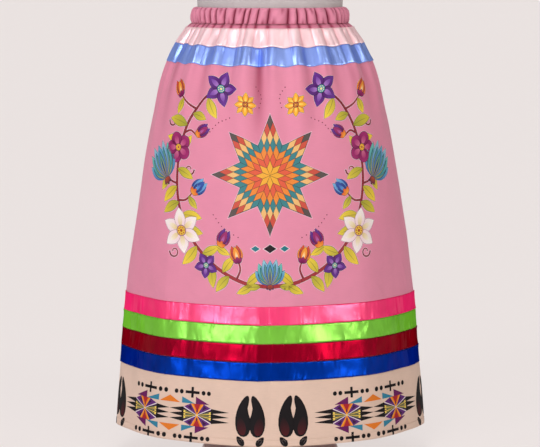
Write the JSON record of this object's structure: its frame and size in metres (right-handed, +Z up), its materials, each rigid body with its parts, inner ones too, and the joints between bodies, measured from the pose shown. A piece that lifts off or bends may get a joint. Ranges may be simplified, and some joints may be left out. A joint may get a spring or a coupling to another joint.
{
  "type": "ribbon skirt on a limbless dress form",
  "caption": "Long gathered-waist skirt with satin ribbon bands and a printed hem border, held out by a limbless linen dress form on a pole and round base.",
  "frame": {"origin": "centre of the round base's underside, on the floor", "axes": "+Z up; -Y is the skirt's front; +X is to the right of someone who faces the front"},
  "size_m": [0.6622, 0.5053, 1.4723],
  "materials": {
    "pink_cloth": "matte cotton blend",
    "tan_cloth": "matte printed cotton",
    "pale_pink_satin": "glossy satin ribbon",
    "cornflower_satin": "glossy satin ribbon",
    "hot_pink_satin": "glossy satin ribbon",
    "lime_satin": "glossy satin ribbon",
    "crimson_satin": "glossy satin ribbon",
    "royal_blue_satin": "glossy satin ribbon",
    "linen": "matte linen cover",
    "cap_wood": "satin varnish",
    "stand_metal": "satin paint",
    "pole_steel": "brushed",
    "base_metal": "satin paint"
  },
  "bodies": {
    "root": {"waist_casing": "pink_cloth", "skirt_front": "pink_cloth", "skirt_back": "pink_cloth", "hem_front": "tan_cloth", "hem_back": "tan_cloth", "ribbon_pale_pink": "pale_pink_satin", "ribbon_cornflower": "cornflower_satin", "ribbon_hot_pink": "hot_pink_satin", "ribbon_lime": "lime_satin", "ribbon_crimson": "crimson_satin", "ribbon_royal_blue": "royal_blue_satin", "form_body": "linen", "form_neck_cap": "cap_wood", "form_collar": "stand_metal", "form_pole": "pole_steel", "form_hub": "stand_metal", "form_base": "base_metal"}
  },
  "joints": []
}
